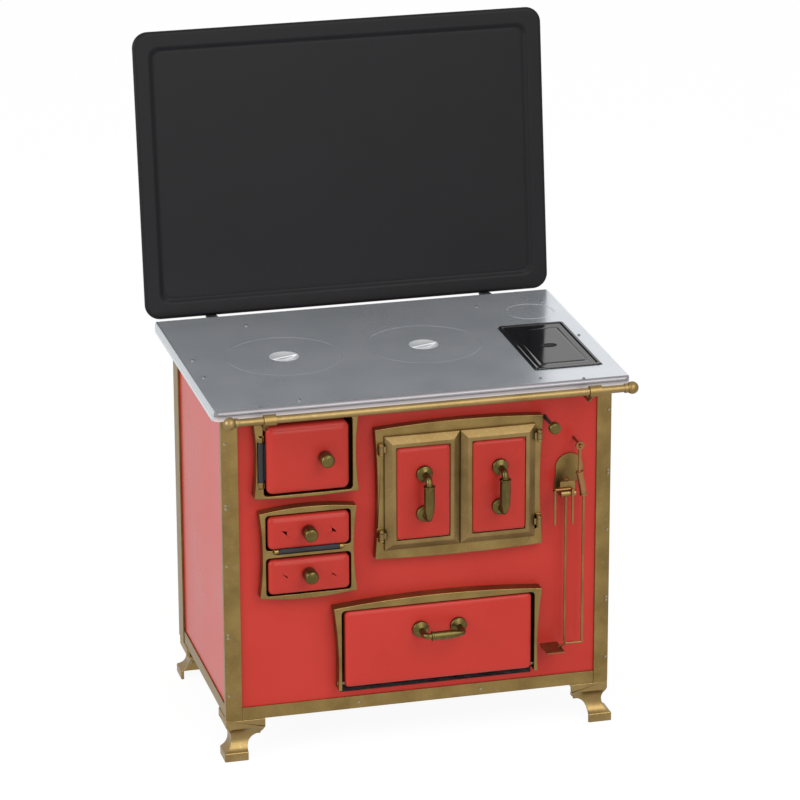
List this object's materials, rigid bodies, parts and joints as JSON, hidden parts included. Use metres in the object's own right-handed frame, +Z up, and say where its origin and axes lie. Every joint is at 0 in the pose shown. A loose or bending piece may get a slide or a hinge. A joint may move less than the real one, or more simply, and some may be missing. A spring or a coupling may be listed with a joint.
{
  "type": "wood-burning cookstove",
  "caption": "Enamelled wood-burning cookstove on cast feet, with firebox, ash drawer, oven, wood compartment, steel cooktop, front rail and a hinged lid.",
  "frame": {"origin": "on the floor, under the centre of the outer box with the lid open", "axes": "+X to the stove's right as seen from the front, +Y to the back, +Z up; the doors face -Y"},
  "size_m": [0.971, 0.8701, 1.5036],
  "materials": {
    "red_enamel": "glossy",
    "aged_brass": "satin",
    "dark_brass": "satin",
    "ground_steel": "satin",
    "black_enamel": "glossy",
    "black_iron": "matte",
    "firebrick": "matte",
    "zinc_sheet": "satin",
    "bright_steel": "glossy"
  },
  "bodies": {
    "stove": {"front_panel": "red_enamel", "left_side_panel": "red_enamel", "right_side_panel": "red_enamel", "back_panel": "red_enamel", "front_posts": "aged_brass", "back_posts": "aged_brass", "base_rails": "aged_brass", "top_rails": "black_iron", "bottom_pan": "black_iron", "feet": "aged_brass", "cooktop_plate": "ground_steel", "water_tank": "zinc_sheet", "firebox_casing": "black_iron", "firebricks": "firebrick", "fire_grate": "black_iron", "smoke_casing": "black_iron", "oven_box": "black_iron", "firebox_door_frame": "aged_brass", "small_door_frame": "aged_brass", "oven_door_frame": "aged_brass", "compartment_frame": "aged_brass", "compartment_liner": "zinc_sheet", "hinge_pins": "bright_steel", "rail_bar": "aged_brass", "rail_ends": "aged_brass", "rail_brackets": "aged_brass", "tool_rack": "aged_brass", "lid_brackets": "black_iron", "lid_pins": "bright_steel", "screws": "bright_steel"},
    "firebox_door": {"firebox_door": "red_enamel", "firebox_door_barrel": "black_iron", "firebox_door_knob": "dark_brass"},
    "air_door": {"air_door": "red_enamel", "air_door_barrel": "black_iron", "air_door_knob": "dark_brass"},
    "ash_drawer": {"ash_drawer_box": "black_iron", "ash_drawer_front": "red_enamel", "ash_drawer_knob": "dark_brass"},
    "left_leaf": {"left_leaf_frame": "aged_brass", "left_leaf_panel": "red_enamel", "left_leaf_handle": "dark_brass"},
    "right_leaf": {"right_leaf_frame": "aged_brass", "right_leaf_panel": "red_enamel", "right_leaf_handle": "dark_brass"},
    "compartment_flap": {"compartment_flap": "red_enamel", "compartment_handle": "dark_brass"},
    "left_hotplate": {"left_hotplate": "ground_steel"},
    "right_hotplate": {"right_hotplate": "ground_steel"},
    "flue_cover": {"flue_cover": "ground_steel"},
    "tank_lid": {"tank_lid": "black_enamel"},
    "oven_rack": {"oven_rack": "bright_steel"},
    "damper": {"damper_slide": "black_iron", "damper_knob": "dark_brass"},
    "poker": {"poker": "aged_brass"},
    "ash_scraper": {"ash_scraper": "aged_brass"},
    "lid_lifter": {"lid_lifter": "aged_brass"},
    "lid": {"lid_shell": "black_enamel", "lid_liner": "black_enamel", "lid_hinge_leaves": "black_iron"}
  },
  "joints": [
    {"name": "firebox_door_hinge", "type": "hinge", "parent": "stove", "child": "firebox_door", "pos_m": [-0.366, -0.32808, 0.7], "axis": [0, 0, -1], "range_deg": [0, 110]},
    {"name": "air_door_hinge", "type": "hinge", "parent": "stove", "child": "air_door", "pos_m": [-0.2595, -0.32508, 0.504], "axis": [1, 0, 0], "range_deg": [0, 75]},
    {"name": "ash_drawer_slide", "type": "slide", "parent": "stove", "child": "ash_drawer", "axis": [0, -1, 0], "range_m": [0, 0.28]},
    {"name": "left_leaf_hinge", "type": "hinge", "parent": "stove", "child": "left_leaf", "pos_m": [-0.0949, -0.33108, 0.615], "axis": [0, 0, -1], "range_deg": [0, 110]},
    {"name": "right_leaf_hinge", "type": "hinge", "parent": "stove", "child": "right_leaf", "pos_m": [0.2689, -0.33108, 0.615], "axis": [0, 0, 1], "range_deg": [0, 85]},
    {"name": "compartment_flap_hinge", "type": "hinge", "parent": "stove", "child": "compartment_flap", "pos_m": [0.038, -0.31508, 0.168], "axis": [1, 0, 0], "range_deg": [0, 92]},
    {"name": "left_hotplate_lift", "type": "slide", "parent": "stove", "child": "left_hotplate", "axis": [0, 0, 1], "range_m": [0, 0.04]},
    {"name": "right_hotplate_lift", "type": "slide", "parent": "stove", "child": "right_hotplate", "axis": [0, 0, 1], "range_m": [0, 0.04]},
    {"name": "flue_cover_lift", "type": "slide", "parent": "stove", "child": "flue_cover", "axis": [0, 0, 1], "range_m": [0, 0.04]},
    {"name": "tank_lid_lift", "type": "slide", "parent": "stove", "child": "tank_lid", "axis": [0, 0, 1], "range_m": [0, 0.04]},
    {"name": "oven_rack_slide", "type": "slide", "parent": "stove", "child": "oven_rack", "axis": [0, -1, 0], "range_m": [0, 0.07]},
    {"name": "damper_pull", "type": "slide", "parent": "stove", "child": "damper", "axis": [0, -1, 0], "range_m": [0, 0.05]},
    {"name": "poker_lift", "type": "slide", "parent": "stove", "child": "poker", "axis": [0, 0, 1], "range_m": [0, 0.04]},
    {"name": "ash_scraper_unhook", "type": "slide", "parent": "stove", "child": "ash_scraper", "axis": [0, -1, 0], "range_m": [0, 0.03]},
    {"name": "lid_lifter_lift", "type": "slide", "parent": "stove", "child": "lid_lifter", "axis": [0, 0, 1], "range_m": [0, 0.04]},
    {"name": "lid_hinge", "type": "hinge", "parent": "stove", "child": "lid", "pos_m": [0, 0.31472, 0.838], "axis": [1, 0, 0], "range_deg": [0, 97.3]}
  ]
}
